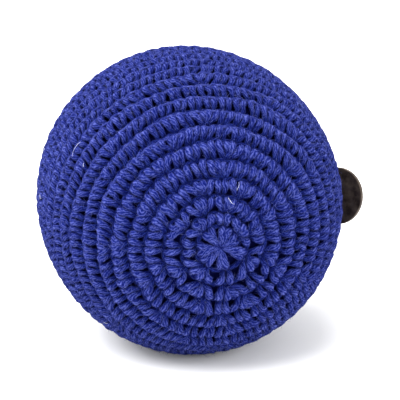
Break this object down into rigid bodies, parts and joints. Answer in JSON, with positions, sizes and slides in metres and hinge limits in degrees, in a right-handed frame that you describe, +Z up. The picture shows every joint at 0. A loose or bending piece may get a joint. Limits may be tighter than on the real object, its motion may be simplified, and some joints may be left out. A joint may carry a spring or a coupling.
{
  "type": "juggling ball",
  "caption": "Crocheted juggling ball: yarn cover over a pellet-filled liner, with a small round tag hanging on a thread loop.",
  "frame": {"origin": "centre of the small flat that the ball rests on, straight below the ball's centre", "axes": "+Z up, the crochet axis along Y with the starting ring at the front (-Y), the tag on the +X side"},
  "size_m": [0.0697, 0.0651, 0.0611],
  "materials": {
    "cover_yarn": "deep blue plied cotton yarn, matt and slightly fuzzy",
    "liner_cloth": "plain undyed cotton cloth",
    "pellets": "smooth cream pellets",
    "loop_thread": "dark blue twisted thread, lightly waxed",
    "tag_metal": "dark antiqued bronze brown, satin, with bright worn edge"
  },
  "bodies": {
    "ball": {"crochet_cover": "cover_yarn", "starting_ring": "cover_yarn", "starting_tail": "cover_yarn", "closing_ring": "cover_yarn", "finishing_knot": "cover_yarn", "finishing_tail": "cover_yarn", "liner_front_panel": "liner_cloth", "liner_back_panel": "liner_cloth", "liner_seam_thread": "liner_cloth", "filling_pellets": "pellets", "tag_anchor_stitch": "cover_yarn"},
    "loop": {"tag_loop": "loop_thread", "tag_loop_knot": "loop_thread"},
    "tag": {"round_tag": "tag_metal"}
  },
  "joints": [
    {"name": "loop_swing", "type": "hinge", "parent": "ball", "child": "loop", "pos_m": [0.0311, 0.0135, 0.03432], "axis": [0, -1, 0], "range_deg": [-2, 110]},
    {"name": "tag_swing", "type": "hinge", "parent": "loop", "child": "tag", "pos_m": [0.03299, 0.01214, 0.02927], "axis": [0.6365, 0.7707, 0.0305], "range_deg": [-45, 5]}
  ]
}
